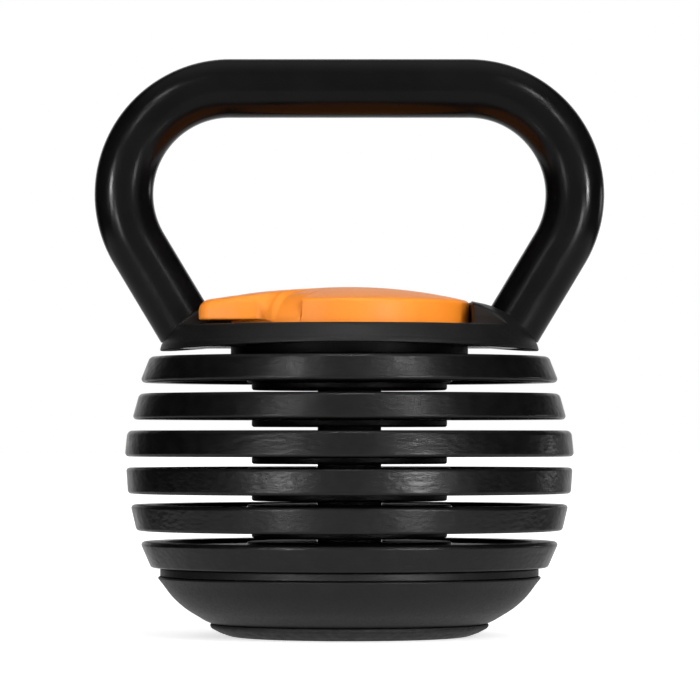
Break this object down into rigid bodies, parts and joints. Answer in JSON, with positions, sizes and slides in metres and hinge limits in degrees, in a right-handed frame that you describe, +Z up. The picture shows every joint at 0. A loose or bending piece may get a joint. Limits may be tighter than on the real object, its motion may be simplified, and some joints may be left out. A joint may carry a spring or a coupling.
{
  "type": "adjustable kettlebell",
  "caption": "Adjustable kettlebell: bent tube handle and domed housing on a centre post, slide-out iron plates and a turning dial whose lever locks them.",
  "frame": {"origin": "centre of the foot's underside, where the kettlebell stands", "axes": "+Z up through the grip, +X along the grip's bar to the right when the lever faces you, +Y away from you, so the plates slide out towards -Y"},
  "size_m": [0.2602, 0.2272, 0.2945],
  "materials": {
    "black_paint": "smooth semi-gloss black powder coat on steel",
    "hammertone_iron": "black hammertone paint over cast iron, finely bumpy, semi-gloss",
    "black_plastic": "satin black moulded plastic with a fine texture",
    "orange_plastic": "satin orange moulded plastic",
    "bare_steel": "bright zinc-plated or machined steel",
    "foot_rubber": "matt black rubber",
    "ballast_iron": "rough unpainted cast iron",
    "bronze": "plain sintered bronze"
  },
  "bodies": {
    "frame": {"handle_tube": "black_paint", "handle_strap": "black_paint", "top_housing": "black_plastic", "neck_ring": "black_plastic", "core_post": "black_paint", "foot_pad": "foot_rubber", "base_bowl": "black_plastic", "base_ballast": "ballast_iron", "base_lid": "black_plastic", "post_bolt": "bare_steel", "post_washer": "bare_steel", "thrust_washer": "bronze", "upper_bushing": "bronze", "detent_block": "bare_steel", "detent_ball": "bare_steel", "detent_spring": "bare_steel", "support_shelf_1": "black_paint", "support_shelf_2": "black_paint", "support_shelf_3": "black_paint", "support_shelf_4": "black_paint", "support_shelf_5": "black_paint", "housing_screw_1": "bare_steel", "housing_screw_2": "bare_steel", "housing_screw_3": "bare_steel", "housing_screw_4": "bare_steel", "lid_screw_1": "bare_steel", "lid_screw_2": "bare_steel", "lid_screw_3": "bare_steel", "lid_screw_4": "bare_steel"},
    "dial": {"lock_shaft": "bare_steel", "dial_hub": "black_plastic", "dial_washer": "bare_steel", "dial_screw": "bare_steel", "dial_cap": "orange_plastic", "dial_lever": "orange_plastic"},
    "plate_1": {"plate_1": "hammertone_iron"},
    "plate_2": {"plate_2": "hammertone_iron"},
    "plate_3": {"plate_3": "hammertone_iron"},
    "plate_4": {"plate_4": "hammertone_iron"},
    "plate_5": {"plate_5": "hammertone_iron"},
    "plate_6": {"plate_6": "hammertone_iron"}
  },
  "joints": [
    {"name": "dial_turn", "type": "hinge", "parent": "frame", "child": "dial", "pos_m": [0, 0, 0.16], "axis": [0, 0, 1], "range_deg": [0, 110]},
    {"name": "plate_1_slide", "type": "slide", "parent": "frame", "child": "plate_1", "axis": [0, -1, 0], "range_m": [0, 0.24]},
    {"name": "plate_2_slide", "type": "slide", "parent": "frame", "child": "plate_2", "axis": [0, -1, 0], "range_m": [0, 0.24]},
    {"name": "plate_3_slide", "type": "slide", "parent": "frame", "child": "plate_3", "axis": [0, -1, 0], "range_m": [0, 0.24]},
    {"name": "plate_4_slide", "type": "slide", "parent": "frame", "child": "plate_4", "axis": [0, -1, 0], "range_m": [0, 0.24]},
    {"name": "plate_5_slide", "type": "slide", "parent": "frame", "child": "plate_5", "axis": [0, -1, 0], "range_m": [0, 0.24]},
    {"name": "plate_6_slide", "type": "slide", "parent": "frame", "child": "plate_6", "axis": [0, -1, 0], "range_m": [0, 0.24]}
  ]
}
